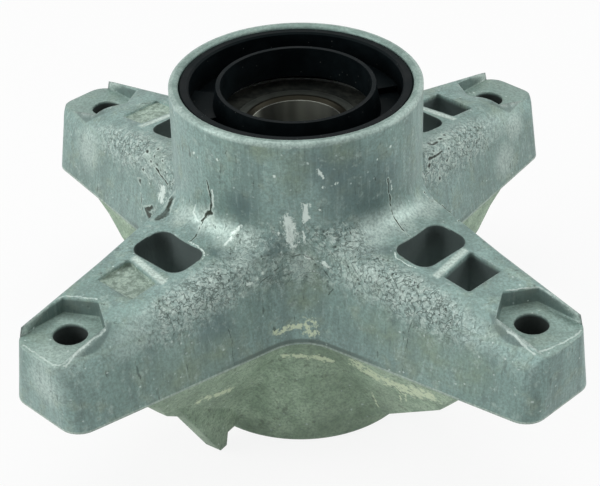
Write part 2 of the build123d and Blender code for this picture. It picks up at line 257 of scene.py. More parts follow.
# Bands of painted highlight at the hub's base, and bands of painted shade below them
BASE_HIGHLIGHT_LEFT = ((186, 213), (204, 221), (222, 232), (244, 243))
BASE_HIGHLIGHT_RIGHT = ((357, 241), (378, 229), (400, 218), (424, 208), (438, 203))
BASE_SHADE_LEFT = ((214, 252), (232, 257), (250, 257))
BASE_SHADE_RIGHT = ((360, 254), (374, 250), (388, 250))
RIM_HIGHLIGHT = (
    (173, 107), (190, 117), (220, 131), (250, 140), (290, 143), (330, 140), (370, 131), (400, 119), (417, 103)
)
SKIRT_DRIPS = (((372, 392), (378, 407)), ((400, 393), (401, 402)), ((405, 394), (406, 402)))

# Broad patches of tone, as bands and spots, each with its reach in millimetres: painted shade with some dark
# stains, painted highlights, and olive stains
SHADE_AND_STAIN_PATCHES = (
    (BASE_SHADE_LEFT, 3.4), (BASE_SHADE_RIGHT, 3.0),
    (((366, 192),), 17.0), (((344, 172),), 12.0), (((240, 205),), 7.0), (((276, 247),), 6.0),
    (((318, 168),), 8.0), (((215, 330),), 8.0), (((386, 176),), 9.0),
)
PAINTED_HIGHLIGHT_PATCHES = (
    (BASE_HIGHLIGHT_LEFT, 3.4), (BASE_HIGHLIGHT_RIGHT, 3.6), (RIM_HIGHLIGHT, 1.1),
    (((206, 219),), 6.0), (((226, 233),), 6.0), (((246, 240),), 5.0), (((372, 233),), 8.0),
    (((398, 219),), 8.0), (((424, 209),), 6.0), (((181, 217),), 5.0), (((352, 246),), 5.0),
    (((300, 265),), 5.0), (((402, 288),), 7.0), (((385, 224),), 6.0), (((372, 272),), 5.0),
    (((436, 305),), 5.0), (((240, 262),), 5.0), (((216, 283),), 6.0), (((55, 355),), 9.0),
    (((45, 385),), 9.0), (((88, 150),), 9.0), (((515, 125),), 7.0), (((505, 160),), 8.0),
    (((190, 300),), 6.0),
)
OLIVE_PATCHES = (
    (((180, 372),), 11.0), (((216, 352),), 8.0), (((430, 352),), 12.0), (((470, 372),), 9.0),
    (((312, 290),), 7.0), (((300, 300),), 6.0), (((260, 145),), 7.0), (((340, 148),), 7.0),
    (((292, 176),), 8.0), (((383, 330),), 8.0),
)

# Lines and spots on the casting, with their widths in millimetres
CRACK_LINES = (
    (LEFT_CRACK, 0.40),
    (LEFT_CRACK_GAP, 0.80),
    (RIGHT_CRACK, 0.46),
    (FINE_CRACK, 0.24),
    (HUB_NOTCH, 1.9),
    (HUB_NOTCH_TAIL, 0.80),
    (BACK_LEFT_SEAM, 0.26),
    (BACK_RIGHT_SEAM, 0.26),
    *(((pit,), 1.0) for pit in BACK_ARM_PITS),
    *((crease, 0.5) for crease in BACK_ARM_CREASES),
)
FAINT_LINES = (
    (CREST_ARCH, 0.24),
    (CREST_FLAKE_SEAM, 0.30),
    (LEFT_SEAM, 0.20),
    (RIGHT_SEAM, 0.15),
    (CREST_SEAM, 0.20),
    *((tick, 0.20) for tick in HUB_TICKS),
)
SMEAR_LINES = (
    (HUB_SMEAR, 2.0),
    (HUB_SMEAR_RIGHT, 1.3),
    (HUB_SMEAR_LOW, 0.5),
    (NOTCH_FLAKE, 1.9),
    (BASE_STREAK, 0.7),
    (CRACK_FLAKES, 0.5),
    (RIGHT_CRACK_EDGE, 0.35),
    (ARCH_FLAKE, 0.5),
    (ARCH_FLAKE_LEFT, 0.6),
    (ARCH_FLAKE_LOW, 0.7),
    (WINDOW_BURR_LEFT, 0.28),
    (WINDOW_BURR_RIGHT, 0.28),
    (HUB_SCRAPE, 0.55),
    *(((fleck,), 0.55) for fleck in HUB_FLECKS),
)
EDGE_LINES = (
    (SEAT_LIP_LEFT, 0.42),
    (SEAT_LIP_RIGHT, 0.42),
    (SEAT_BACK_LEFT, 0.40),
    (SEAT_BACK_RIGHT, 0.40),
    (HUB_BASE_EDGE, 0.50),
)
CHALK_LINES = (
    (CREST_CHALK, 1.3),
    (CREST_CHALK_PATCH, 2.2),
    (SKIRT_CHALK_LINE, 0.9),
    (SKIRT_CHALK_LEFT, 1.9),
    (SKIRT_CHALK_RIGHT, 3.6),
    *((drip, 0.4) for drip in SKIRT_DRIPS),
)


def camera_axes():
    """Right, up and backward directions of the camera."""
    turn, rise, roll = CAMERA_TURN, CAMERA_ELEVATION, CAMERA_ROLL
    back = Vector((math.sin(turn) * math.cos(rise), -math.cos(turn) * math.cos(rise), math.sin(rise)))
    level_right = Vector((math.cos(turn), math.sin(turn), 0.0))
    level_up = back.cross(level_right)
    right = level_right * math.cos(roll) + level_up * math.sin(roll)
    up = level_up * math.cos(roll) - level_right * math.sin(roll)
    return right, up, back


def add_camera():
    """Camera at the photograph's viewing angle."""
    bpy.ops.object.camera_add()
    camera = bpy.context.active_object
    right, up, back = camera_axes()
    turn = Matrix((right, up, back)).transposed().to_4x4()
    camera.matrix_world = Matrix.Translation(CAMERA_PLACE) @ turn
    camera.data.sensor_width = SENSOR_WIDTH_MM
    camera.data.lens = CAMERA_FOCAL_PIXELS * SENSOR_WIDTH_MM / IMAGE_WIDTH
    bpy.context.scene.camera = camera


def sight(pixel):
    """Direction from the camera through a pixel of the photograph."""
    right, up, back = camera_axes()
    across = (pixel[0] - IMAGE_WIDTH / 2) / CAMERA_FOCAL_PIXELS
    above = (IMAGE_HEIGHT / 2 - pixel[1]) / CAMERA_FOCAL_PIXELS
    return (right * across + up * above - back).normalized()


class Finish:
    """One material, whose patterns lie on the piece's own Object coordinates."""

    def __init__(self, name, metallic=0.0, roughness=0.5, gloss=0.5):
        self.material = bpy.data.materials.new(name)
        self.material.use_nodes = True
        self.nodes = self.material.node_tree.nodes
        self.links = self.material.node_tree.links
        self.shader = self.nodes["Principled BSDF"]
        self.shader.inputs["Metallic"].default_value = metallic
        self.shader.inputs["Roughness"].default_value = roughness
        self.shader.inputs["Specular IOR Level"].default_value = gloss
        coordinates = self.nodes.new("ShaderNodeTexCoord")
        self.place = coordinates.outputs["Object"]
        self.facing = coordinates.outputs["Normal"]

    def put(self, socket, value):
        """Link a node's output to a socket, or set its value."""
        if isinstance(value, bpy.types.NodeSocket):
            self.links.new(value, socket)
        else:
            socket.default_value = value

    def reckon(self, operation, *values, clamp=False):
        """One step of arithmetic."""
        node = self.nodes.new("ShaderNodeMath")
        node.operation = operation
        node.use_clamp = clamp
        for socket, value in zip(node.inputs, values):
            self.put(socket, value)
        return node.outputs[0]

    def vector(self, operation, *values, answer="Vector"):
        """One step of vector arithmetic."""
        node = self.nodes.new("ShaderNodeVectorMath")
        node.operation = operation
        for socket, value in zip(node.inputs, values):
            self.put(socket, value)
        return node.outputs[answer]

    def scaled(self, place, factor):
        """A vector times a number."""
        node = self.nodes.new("ShaderNodeVectorMath")
        node.operation = "SCALE"
        self.put(node.inputs["Vector"], place)
        self.put(node.inputs["Scale"], factor)
        return node.outputs["Vector"]

    def parts(self, place=None):
        """The three coordinates of a point."""
        node = self.nodes.new("ShaderNodeSeparateXYZ")
        self.put(node.inputs[0], place or self.place)
        return node.outputs

    def joined(self, x, y, z):
        """A point from three numbers."""
        node = self.nodes.new("ShaderNodeCombineXYZ")
        for socket, value in zip(node.inputs, (x, y, z)):
            self.put(socket, value)
        return node.outputs[0]

    def length(self, x, y):
        """Length of a level line that runs x and y."""
        return self.vector("LENGTH", self.joined(x, y, 0.0), answer="Value")

    def stretched(self, x, y, z):
        """The place, drawn out along an axis that has a factor below one."""
        node = self.nodes.new("ShaderNodeMapping")
        self.put(node.inputs["Vector"], self.place)
        node.inputs["Scale"].default_value = (x, y, z)
        return node.outputs["Vector"]

    def shaken(self, size, reach):
        """The place, moved about a little, so that lines drawn on it wander."""
        node = self.nodes.new("ShaderNodeTexNoise")
        node.inputs["Scale"].default_value = 1.0 / size
        node.inputs["Detail"].default_value = 4.0
        self.put(node.inputs["Vector"], self.place)
        from_middle = self.vector("SUBTRACT", node.outputs["Color"], (0.5, 0.5, 0.5))
        return self.vector("ADD", self.place, self.scaled(from_middle, reach))

    def noise(self, size, detail=3.0, rough=0.55, place=None, shift=0.0):
        """Cloudy pattern, 0 to 1, with blotches of about the given size; shift moves it."""
        node = self.nodes.new("ShaderNodeTexNoise")
        node.inputs["Scale"].default_value = 1.0 / size
        node.inputs["Detail"].default_value = detail
        node.inputs["Roughness"].default_value = rough
        place = place or self.place
        if shift:
            place = self.vector("ADD", place, (shift, shift, shift))
        self.put(node.inputs["Vector"], place)
        return node.outputs["Fac"]

    def cells(self, size, place=None, shift=0.0):
        """Distance from the middle of scattered cells of the given size; shift moves them."""
        place = place or self.place
        if shift:
            place = self.vector("ADD", place, (shift, 0.0, 0.0))
        node = self.nodes.new("ShaderNodeTexVoronoi")
        node.inputs["Scale"].default_value = 1.0 / size
        self.put(node.inputs["Vector"], place)
        return node.outputs["Distance"]

    def ease(self, value, low, high, start=0.0, end=1.0):
        """A soft step from start to end while value goes from low to high."""
        node = self.nodes.new("ShaderNodeMapRange")
        node.interpolation_type = "SMOOTHSTEP"
        self.put(node.inputs["Value"], value)
        node.inputs["From Min"].default_value = low
        node.inputs["From Max"].default_value = high
        node.inputs["To Min"].default_value = start
        node.inputs["To Max"].default_value = end
        return node.outputs["Result"]

    def fade(self, value, low, high, start=1.0):
        """A soft step down to 0 while value goes from low to high."""
        return self.ease(value, low, high, start, 0.0)

    def between(self, value, low, high, soft):
        """1 where value lies between low and high, with soft ends."""
        rising = self.ease(value, low - soft, low)
        return self.both(rising, self.fade(value, high, high + soft))

    def outside(self, value, middle, half):
        """How far value lies beyond half on either side of middle."""
        away = self.reckon("ABSOLUTE", self.reckon("SUBTRACT", value, middle))
        return self.reckon("MAXIMUM", self.reckon("SUBTRACT", away, half), 0.0)

    def both(self, *masks):
        """Product of masks."""
        answer = masks[0]
        for mask in masks[1:]:
            answer = self.reckon("MULTIPLY", answer, mask)
        return answer

    def either(self, *masks):
        """Largest of masks."""
        answer = masks[0]
        for mask in masks[1:]:
            answer = self.reckon("MAXIMUM", answer, mask)
        return answer

    def mix(self, amount, under, over):
        """Two colours mixed by amount."""
        node = self.nodes.new("ShaderNodeMix")
        node.data_type = "RGBA"
        self.put(node.inputs["Factor"], amount)
        for socket, colour in ((node.inputs[6], under), (node.inputs[7], over)):
            self.put(socket, colour if isinstance(colour, bpy.types.NodeSocket) else (*colour, 1.0))
        return node.outputs[2]

    def painted(self, colour, layers):
        """A colour under layers of paint, each given as how much of it shows and its tone."""
        for amount, tone in layers:
            colour = self.mix(amount, colour, tone)
        return colour

    def distance(self, points, place):
        """Distance from a point or a line of points."""
        if len(points) == 1:
            return self.vector("DISTANCE", place, tuple(points[0]), answer="Value")
        nearest = None
        for start, end in zip(points, points[1:]):
            run = end - start
            ahead = tuple(run.normalized())
            from_start = self.vector("SUBTRACT", place, tuple(start))
            along = self.vector("DOT_PRODUCT", from_start, ahead, answer="Value")
            along = self.reckon("MINIMUM", self.reckon("MAXIMUM", along, 0.0), run.length)
            gap = self.vector("DISTANCE", from_start, self.scaled(ahead, along), answer="Value")
            nearest = gap if nearest is None else self.reckon("MINIMUM", nearest, gap)
        return nearest

    def corners(self, reach, inside=False):
        """1 in tight corners, or on sharp edges if inside."""
        node = self.nodes.new("ShaderNodeAmbientOcclusion")
        node.samples = 4
        node.inside = inside
        node.only_local = True
        node.inputs["Distance"].default_value = reach
        return self.reckon("SUBTRACT", 1.0, node.outputs["AO"])

    def relief(self, height, depth, under=None):
        """Surface relief from a pattern; depth is how far 1 stands above 0."""
        node = self.nodes.new("ShaderNodeBump")
        node.inputs["Distance"].default_value = depth
        self.put(node.inputs["Height"], height)
        if under is not None:
            self.put(node.inputs["Normal"], under)
        return node.outputs["Normal"]

    def finish(self, colour, roughness=None, normal=None, metallic=None):
        """Join the patterns to the shader."""
        for name, value in (
            ("Base Color", colour), ("Roughness", roughness), ("Normal", normal), ("Metallic", metallic)
        ):
            if value is not None:
                self.put(self.shader.inputs[name], value)
        return self.material


def dressed_copy(node, name):
    """Merged copy of a CAD node with its sharp edges broken; it replaces the node."""
    source = frame["nodes"][node]
    bpy.ops.object.select_all(action="DESELECT")
    piece = source.copy()
    piece.data = source.data.copy()
    piece.name = name
    piece.parent = None
    piece.matrix_world = Matrix.Identity(4)
    bpy.context.collection.objects.link(piece)
    bpy.context.view_layer.objects.active = piece
    piece.select_set(True)
    bpy.ops.object.mode_set(mode="EDIT")
    bpy.ops.mesh.select_all(action="SELECT")
    bpy.ops.mesh.remove_doubles(threshold=MERGE_GAP)
    bpy.ops.mesh.dissolve_limited(angle_limit=math.radians(FLAT_ANGLE))
    bpy.ops.object.mode_set(mode="OBJECT")
    bevel = piece.modifiers.new("broken_edges", "BEVEL")
    bevel.width = BROKEN_EDGE
    bevel.segments = 2
    bevel.limit_method = "ANGLE"
    bevel.angle_limit = math.radians(BROKEN_EDGE_ANGLE)
    bevel.use_clamp_overlap = True
    bpy.ops.object.modifier_apply(modifier=bevel.name)
    bpy.ops.object.shade_smooth_by_angle(angle=math.radians(SMOOTH_ANGLE))
    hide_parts(node)
    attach(piece, next(body for body, nodes in frame["record"]["behaviour"]["bodies"].items() if node in nodes))
    return piece


def touch_points(pixels, tree):
    """Places on the casting that the given pixels of the photograph show."""
    hits = (tree.ray_cast(CAMERA_PLACE, sight(pixel))[0] for pixel in pixels)
    return [place for place in hits if place is not None]


class CastPlace:
    """Where a point of the casting lies, along and across its arm and round the hub."""

    def __init__(self, cast):
        self.right, y, self.height = cast.parts()
        ahead = cast.reckon("ABSOLUTE", self.right)
        aside = cast.reckon("ABSOLUTE", y)
        self.out = cast.reckon("MULTIPLY", cast.reckon("ADD", ahead, aside), math.sqrt(0.5))
        leaning = cast.reckon("MULTIPLY", cast.reckon("SUBTRACT", aside, ahead), math.sqrt(0.5))
        self.across = cast.reckon("MULTIPLY", leaning, cast.reckon("SIGN", y))
        self.slanted = cast.reckon("MULTIPLY_ADD", self.across, POCKET_SLANT, self.out)
        from_bolt_out = cast.reckon("SUBTRACT", BOLT_OUT, self.out)
        slope_top = cast.reckon("MULTIPLY_ADD", from_bolt_out, ARM_RISE, ARM_TOP_Z)
        self.below_top = cast.reckon("SUBTRACT", slope_top, self.height)
        self.radius = cast.length(self.right, y)
        self.from_bolt = cast.length(from_bolt_out, self.across)


def window_zone(cast, at):
    """Inside of the four windows, whose inner side follows the hub."""
    past_side = [
        cast.outside(place, middle, half - WINDOW_CORNER)
        for place, middle, half in zip((at.out, at.across), WINDOW_MIDDLE, WINDOW_HALF)
    ]
    return cast.both(
        cast.fade(cast.length(*past_side), WINDOW_CORNER + 0.02 * MM, WINDOW_CORNER + 0.2 * MM),
        cast.ease(at.radius, WINDOW_START - 0.15 * MM, WINDOW_START - 0.05 * MM),
        cast.either(
            cast.ease(at.out, HUB_BLEND_OUT, HUB_BLEND_OUT + 1 * MM),
            cast.ease(at.below_top, 0.2 * MM, 0.5 * MM),
        ),
    )


def pocket_zones(cast, at):
    """Inside of the deep pockets on the right, and the floor of the shallow ones on the left."""
    in_pocket = cast.both(
        cast.ease(at.slanted, POCKET_START_OUT - 0.1 * MM, POCKET_START_OUT + 0.1 * MM),
        cast.fade(at.out, POCKET_END_OUT, POCKET_END_OUT + 0.3 * MM),
        cast.between(at.across, *POCKET_SIDES, 0.1 * MM),
    )
    on_right = cast.ease(at.right, 0.0, 1.0 * MM)
    deep = cast.both(in_pocket, on_right, cast.ease(at.below_top, 0.5 * MM, 2.0 * MM))
    on_left = cast.reckon("SUBTRACT", 1.0, on_right)
    return deep, cast.both(in_pocket, on_left, cast.ease(at.below_top, 0.8 * MM, 0.9 * MM))


def cast_zones(cast):
    """Where on the casting its different skins lie, each as a mask from 0 to 1."""
    at = CastPlace(cast)
    window = window_zone(cast, at)
    pocket, shallow_floor = pocket_zones(cast, at)
    bolt_hole = cast.both(
        cast.fade(at.from_bolt, BOLT_HOLE_RADIUS, BOLT_HOLE_RADIUS + 0.3 * MM),
        cast.fade(at.height, SEAT_FLOOR_Z - 1.2 * MM, SEAT_FLOOR_Z - 0.3 * MM),
    )
    not_under = cast.both(
        cast.ease(at.height, *UNDERSIDE_FADE_Z), cast.ease(cast.parts(cast.facing)[2], *UNDERSIDE_FADE_SLOPE)
    )
    return {
        "height": at.height,
        "recess": cast.both(cast.either(window, pocket, bolt_hole), not_under),
        "recess_depth": cast.ease(at.below_top, *RECESS_FADE_BELOW),
        "bolt_hole": bolt_hole,
        "shallow_floor": shallow_floor,
        "seat_wall": cast.both(
            cast.fade(at.from_bolt, SEAT_RADIUS, SEAT_RADIUS + 0.6 * MM),
            cast.ease(at.height, SEAT_FLOOR_Z + 0.2 * MM, SEAT_FLOOR_Z + 0.5 * MM),
            cast.ease(at.below_top, 0.4 * MM, 0.9 * MM),
        ),
        "shoulder": cast.both(
            cast.fade(at.across, *SHOULDER_FADE_SIDE),
            cast.fade(at.below_top, *SHOULDER_FADE_LOW),
            cast.ease(at.below_top, *SHOULDER_FADE_HIGH),
            cast.ease(at.out, *SHOULDER_FADE_OUT, 1.0, 0.15),
        ),
        "lit_shoulder": cast.both(
            cast.fade(at.across, *LIT_FADE_SIDE),
            cast.between(at.below_top, *LIT_BELOW, 3 * MM),
            cast.between(at.out, *LIT_OUT, 12 * MM),
        ),
        "skirt": cast.fade(at.height, ARM_FOOT_Z - 0.6 * MM, ARM_FOOT_Z),
        "ledge": cast.between(at.height, ARM_FOOT_Z + 0.05 * MM, ARM_FOOT_Z + 0.5 * MM, 0.1 * MM),
        "ledge_shade": cast.both(
            cast.between(at.height, ARM_FOOT_Z + 0.7 * MM, ARM_FOOT_Z + 1.2 * MM, 0.7 * MM),
            cast.fade(at.radius, *LEDGE_FADE_RADIUS),
        ),
        "seat": cast.both(
            cast.between(at.height, SEAT_FLOOR_Z - 0.3 * MM, SEAT_FLOOR_Z + 0.3 * MM, 0.2 * MM),
            cast.ease(at.out, SEAT_START_OUT, SEAT_START_OUT + 2 * MM),
        ),
        "web": cast.both(
            cast.between(at.slanted, *WEB_OUT, 1.0 * MM),
            cast.between(at.across, *WEB_SIDES, 1.0 * MM),
            cast.fade(at.below_top, 1.6 * MM, 2.6 * MM),
        ),
        "rim": cast.ease(at.height, RIM_Z - 0.8 * MM, RIM_Z - 0.4 * MM),
        "rim_edge": cast.both(
            cast.ease(at.height, RIM_Z - 1.6 * MM, RIM_Z - 0.9 * MM),
            cast.ease(at.radius, HUB_RADIUS - 1.3 * MM, HUB_RADIUS - 0.9 * MM),
        ),
    }


def nearest_mark(cast, tree, place, marks):
    """Distance from the nearest of the lines and spots, counted in widths of that mark."""
    nearest = FAR_OFF
    for pixels, width in marks:
        gap = cast.reckon("DIVIDE", cast.distance(touch_points(pixels, tree), place), width * MM)
        nearest = cast.reckon("MINIMUM", gap, nearest)
    return nearest


def skin_patterns(cast, loose):
    """Clouds, drag lines and specks of the casting's skin."""
    blotches = cast.noise(6 * MM, 5, 0.6, shift=0.3)
    up_and_down = cast.stretched(1.0, 1.0, 0.10)
    return {
        "blotches": blotches,
        "clouds": cast.noise(24 * MM, 4, 0.5),
        "grain": cast.noise(0.7 * MM, 3, 0.6),
        "drag": cast.noise(0.9 * MM, 4, 0.65, place=cast.stretched(1.0, 1.0, 0.09)),
        "broad_drag": cast.noise(5.0 * MM, 4, 0.6, place=up_and_down, shift=0.7),
        "scratches": cast.both(
            cast.ease(cast.noise(1.2 * MM, 2, 0.5, place=up_and_down, shift=1.9), 0.66, 0.72),
            cast.ease(blotches, 0.45, 0.6),
        ),
        "pebbles": cast.noise(1.7 * MM, 6, 0.68, place=loose, shift=0.9),
        "flecks": cast.both(
            cast.fade(cast.cells(2.8 * MM, loose), 0.06, 0.14),
            cast.ease(blotches, 0.35, 0.6),
        ),
        "pits": cast.both(
            cast.fade(cast.cells(2.3 * MM, loose, 0.013), 0.08, 0.2),
            cast.ease(blotches, 0.5, 0.62),
        ),
    }


def drawn_marks(cast, tree, loose, blotches):
    """Cracks, smears, chalk, worn lips and broad patches, where the photograph shows them."""
    narrowing = cast.ease(cast.noise(3.5 * MM, 3, 0.6, shift=2.7), 0.35, 0.62, 0.7, 1.9)
    from_crack = cast.both(nearest_mark(cast, tree, loose, CRACK_LINES), narrowing)
    cracks = cast.fade(from_crack, 0.35, 1.0)
    lips = cast.between(from_crack, 1.0, 1.4, 0.4)
    from_faint = cast.both(nearest_mark(cast, tree, loose, FAINT_LINES), narrowing)
    faint = cast.fade(from_faint, 0.35, 1.0, 0.6)
    ragged = cast.ease(cast.noise(1.1 * MM, 4, 0.7, shift=4.4), 0.3, 0.7, 0.55, 1.7)
    broken = cast.ease(cast.noise(0.9 * MM, 4, 0.65, place=cast.stretched(1.0, 1.0, 0.25)), 0.37, 0.47)
    from_smear = cast.both(nearest_mark(cast, tree, loose, SMEAR_LINES), ragged)
    smears = cast.both(cast.fade(from_smear, 0.5, 1.0), broken)
    from_chalk = cast.both(nearest_mark(cast, tree, loose, CHALK_LINES), ragged)
    chalk = cast.both(cast.fade(from_chalk, 0.5, 1.0), cast.ease(cast.noise(1.8 * MM, 5, 0.7), 0.42, 0.50))
    from_edge = cast.both(nearest_mark(cast, tree, loose, EDGE_LINES), ragged)
    edges = cast.both(cast.fade(from_edge, 0.3, 1.0), cast.ease(blotches, 0.3, 0.5, 0.2, 0.55))
    # Broad patches: painted shade with some dark stains, painted highlights, and olive stains
    dark, light, olive = (
        cast.fade(nearest_mark(cast, tree, cast.place, patches), 0.15, 1.0)
        for patches in (SHADE_AND_STAIN_PATCHES, PAINTED_HIGHLIGHT_PATCHES, OLIVE_PATCHES)
    )
    return {
        "cracks": cast.either(cracks, faint), "lips": lips, "smears": smears, "chalk": chalk, "edges": edges,
        "dark": dark, "light": light, "olive": olive,
    }


def roughened(cast, loose, zone, skin):
    """Add the wrinkles, crumbs and pits of the rough shoulders to the skin's patterns."""
    fold = cast.reckon("SUBTRACT", cast.noise(1.9 * MM, 2, 0.5, place=loose, shift=3.3), 0.5)
    skin["wrinkles"] = cast.fade(cast.reckon("ABSOLUTE", fold), 0.008, 0.035)
    skin["rough"] = cast.both(zone["shoulder"], cast.ease(skin["clouds"], 0.38, 0.55, 0.45, 1.0))
    crumbled = cast.both(skin["rough"], cast.ease(skin["blotches"], 0.42, 0.56))
    crumbs = cast.both(crumbled, cast.fade(cast.cells(1.9 * MM, loose), 0.10, 0.24))
    skin["flecks"] = cast.either(skin["flecks"], crumbs)
    skin["pits"] = cast.either(
        cast.both(skin["pits"], cast.either(zone["shoulder"], 0.25)),
        cast.both(crumbled, cast.fade(cast.cells(1.7 * MM, loose, 0.031), 0.10, 0.22)),
    )


def metal_layers(cast, zone, skin, mark):
    """Tones of the bare skin and of its rough shoulders, with painted shade, painted highlights and the lit
    shoulders painted lighter.
    """
    blotches = skin["blotches"]
    yield cast.ease(skin["broad_drag"], 0.4, 0.7, 0.0, 0.6), DRAG_SHADE
    yield cast.ease(blotches, 0.5, 0.7, 0.0, 0.6), STAIN
    # Painted shade, with some dark stains, in broad patches and in bands below the hub base's painted
    # highlights
    yield cast.both(mark["dark"], 0.6), SHADE_AND_STAIN
    yield cast.both(mark["olive"], cast.ease(blotches, 0.35, 0.6, 0.25, 0.7)), OLIVE_PATCH
    # Painted highlights in broad patches and bands, and the lit shoulders painted lighter
    yield cast.both(mark["light"], 0.62), PAINTED_HIGHLIGHT
    yield cast.both(zone["lit_shoulder"], 0.35), LIT_SHOULDER
    yield cast.ease(skin["drag"], 0.54, 0.68, 0.0, 0.4), DRAG_LIGHT
    yield cast.fade(skin["drag"], 0.32, 0.45, 0.45), DRAG_DARK
    yield cast.ease(cast.noise(2.4 * MM, 4, 0.65, shift=5.1), 0.56, 0.68, 0.0, 0.5), MOTTLE_LIGHT
    yield cast.ease(cast.noise(3.1 * MM, 4, 0.65, shift=6.3), 0.58, 0.68, 0.0, 0.5), MOTTLE_DARK
    yield cast.both(skin["scratches"], 0.75), SCRATCH
    yield cast.both(skin["rough"], cast.ease(skin["pebbles"], 0.48, 0.58, 0.0, 0.8)), PEBBLE_TOP
    yield cast.both(skin["rough"], cast.fade(skin["pebbles"], 0.38, 0.45, 0.6)), PEBBLE_GAP
    yield cast.both(skin["rough"], skin["wrinkles"], 0.7), WRINKLE


def zone_layers(cast, zone, skin):
    """Tones of the seats, pockets, webs, rim, skirt and ledge, with painted shade on the seat walls and a
    painted highlight on the ledge with painted shade just above it.
    """
    blotches = skin["blotches"]
    yield cast.both(zone["seat"], 0.5), SEAT_FLOOR
    # Painted shade on the walls of the hex seats
    yield cast.both(zone["seat_wall"], 0.55), SEAT_WALL_SHADE
    floor_tone = cast.mix(cast.ease(skin["pebbles"], 0.38, 0.58), POCKET_FLOOR_DARK, POCKET_FLOOR_LIGHT)
    yield cast.both(zone["shallow_floor"], 0.9), floor_tone
    yield cast.both(zone["web"], cast.ease(blotches, 0.3, 0.6, 0.6, 0.95)), WEB_EDGE
    yield cast.both(zone["rim"], 0.85), cast.mix(cast.ease(blotches, 0.40, 0.60), RIM_DARK, RIM_LIGHT)
    yield cast.both(zone["rim_edge"], cast.ease(blotches, 0.35, 0.6, 0.4, 0.8)), RIM_EDGE
    skirt_tone = cast.painted(cast.mix(cast.ease(blotches, 0.35, 0.65), SKIRT_DARK, SKIRT_LIGHT), (
        (cast.ease(skin["clouds"], 0.45, 0.65, 0.0, 0.5), SKIRT_CLOUD),
        (cast.fade(zone["height"], *SKIRT_FOOT_FADE_Z, 0.4), SKIRT_FOOT),
        (cast.fade(skin["pebbles"], 0.36, 0.44, 0.6), SKIRT_PIT),
    ))
    yield cast.both(zone["skirt"], 0.92), skirt_tone
    # Painted highlight along the arms' lower edge, and painted shade just above it
    yield cast.both(zone["ledge"], cast.ease(blotches, 0.3, 0.5, 0.3, 0.8)), LEDGE_HIGHLIGHT
    yield cast.both(zone["ledge_shade"], 0.7), LEDGE_SHADE


def wear_layers(cast, skin):
    """Painted shade in the corners, bare metal and painted highlights on the edges, flecks, pits and grain."""
    # Painted shade: corners darkened by ambient occlusion
    yield cast.ease(cast.corners(4 * MM), 0.45, 0.95, 0.0, 0.8), CORNER_SHADE
    # Edges lightened by inside ambient occlusion: bare-metal wear and painted highlight
    worn = cast.ease(cast.corners(1.4 * MM, inside=True), 0.35, 0.7, 0.0, 0.8)
    yield cast.both(worn, cast.ease(skin["blotches"], 0.35, 0.5, 0.25, 1.0)), WEAR_AND_EDGE_HIGHLIGHT
    yield cast.both(skin["flecks"], 0.85), FLECK
    yield cast.both(skin["pits"], 0.85), PIT
    yield cast.ease(skin["grain"], 0.38, 0.66, 0.0, 0.45), GRAIN


def mark_layers(cast, zone, skin, mark):
    """Smears, chalk and cracks, and the shade in the windows, pockets and bolt holes over them."""
    blotches = skin["blotches"]
    yield cast.either(cast.both(mark["smears"], 0.95), mark["edges"]), SMEAR
    yield cast.both(mark["chalk"], 0.9), CHALK
    yield cast.both(mark["lips"], cast.ease(blotches, 0.4, 0.55, 0.1, 0.8)), CRACK_LIP
    yield cast.both(mark["cracks"], cast.ease(blotches, 0.3, 0.5, 0.7, 1.0)), CRACK
    yield zone["recess"], cast.mix(zone["recess_depth"], RECESS_TOP, RECESS_FLOOR)
    yield zone["bolt_hole"], BOLT_HOLE


def skin_relief(cast, skin):
    """Bump of the casting's skin, over softly rounded edges."""
    height = cast.reckon("MULTIPLY", skin["drag"], 0.3)
    for pattern, share in (
        (skin["grain"], 0.3), (skin["blotches"], 1.0), (cast.both(skin["rough"], skin["pebbles"]), 3.4),
        (cast.both(skin["rough"], skin["wrinkles"]), -0.8), (skin["pits"], -1.4),
    ):
        height = cast.reckon("MULTIPLY_ADD", pattern, share, height)
    soft_edges = cast.nodes.new("ShaderNodeBevel")
    soft_edges.samples = SOFT_EDGE_SAMPLES
    soft_edges.inputs["Radius"].default_value = SOFT_EDGE_RADIUS
    return cast.relief(height, SKIN_RELIEF, under=soft_edges.outputs["Normal"])


def cast_aluminium(tree):
    """Weathered die-cast aluminium: drag lines, pits, cracks, chalky residue, and painted shade and highlights.
    """
    cast = Finish("cast_aluminium", metallic=CAST_METALLIC, roughness=CAST_ROUGHNESS, gloss=CAST_GLOSS)
    zone = cast_zones(cast)
    loose = cast.shaken(LINE_SHAKE_SIZE, LINE_SHAKE)
    skin = skin_patterns(cast, loose)
    mark = drawn_marks(cast, tree, loose, skin["blotches"])
    roughened(cast, loose, zone, skin)
    colour = cast.mix(cast.ease(skin["clouds"], 0.3, 0.7), METAL_DULL, METAL_FRESH)
    colour = cast.painted(colour, metal_layers(cast, zone, skin, mark))
    colour = cast.painted(colour, zone_layers(cast, zone, skin))
    colour = cast.painted(colour, wear_layers(cast, skin))
    colour = cast.painted(colour, mark_layers(cast, zone, skin, mark))
    roughness = cast.either(
        cast.ease(skin["blotches"], 0.25, 0.75, 0.36, 0.52), zone["recess"], cast.both(zone["skirt"], 0.62)
    )
    taken_off = cast.both(zone["recess"], CAST_METALLIC)
    metallic = cast.reckon("SUBTRACT", CAST_METALLIC, taken_off, clamp=True)
    return cast.finish(colour, roughness, skin_relief(cast, skin), metallic)


